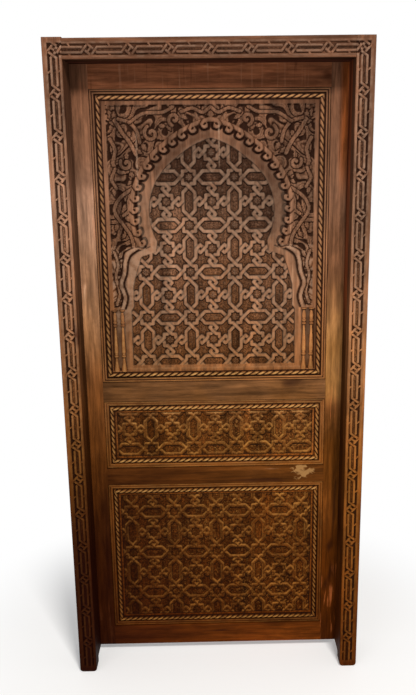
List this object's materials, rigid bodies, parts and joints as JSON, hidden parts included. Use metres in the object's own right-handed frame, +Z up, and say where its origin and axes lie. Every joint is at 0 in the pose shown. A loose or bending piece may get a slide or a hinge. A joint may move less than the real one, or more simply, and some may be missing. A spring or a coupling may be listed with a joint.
{
  "type": "carved door with frame",
  "caption": "Tall wooden door leaf carved with interlaced star strapwork under a horseshoe arch, with rope mouldings, hung in a deep braided-border frame.",
  "frame": {"origin": "middle of the door's width and depth, on the floor under the frame's feet", "axes": "+Z up, +X to the right as seen from the carved front, front face towards -Y"},
  "size_m": [0.96, 0.17, 2.07],
  "materials": {
    "wood": "aged, waxed and worn",
    "iron": "dark, oiled"
  },
  "bodies": {
    "frame": {"left_jamb": "wood", "right_jamb": "wood", "head": "wood", "left_lining": "wood", "right_lining": "wood", "head_lining": "wood", "lower_frame_hinge": "iron", "middle_frame_hinge": "iron", "upper_frame_hinge": "iron"},
    "leaf": {"bottom_moulding_bottom": "wood", "bottom_moulding_left": "wood", "bottom_moulding_right": "wood", "bottom_moulding_top": "wood", "bottom_panel": "wood", "bottom_rail": "wood", "hinge_stile": "wood", "left_inner_colonnette": "wood", "left_outer_colonnette": "wood", "lock_rail": "wood", "lock_stile": "wood", "lower_leaf_hinge": "iron", "middle_leaf_hinge": "iron", "middle_moulding_bottom": "wood", "middle_moulding_left": "wood", "middle_moulding_right": "wood", "middle_moulding_top": "wood", "middle_panel": "wood", "middle_rail": "wood", "right_inner_colonnette": "wood", "right_outer_colonnette": "wood", "top_moulding_bottom": "wood", "top_moulding_left": "wood", "top_moulding_right": "wood", "top_moulding_top": "wood", "top_panel": "wood", "top_rail": "wood", "upper_leaf_hinge": "iron"}
  },
  "joints": [
    {"name": "leaf_swing", "type": "hinge", "parent": "frame", "child": "leaf", "pos_m": [-0.4355, 0.079, 1], "axis": [0, 0, 1], "range_deg": [0, 105]}
  ]
}
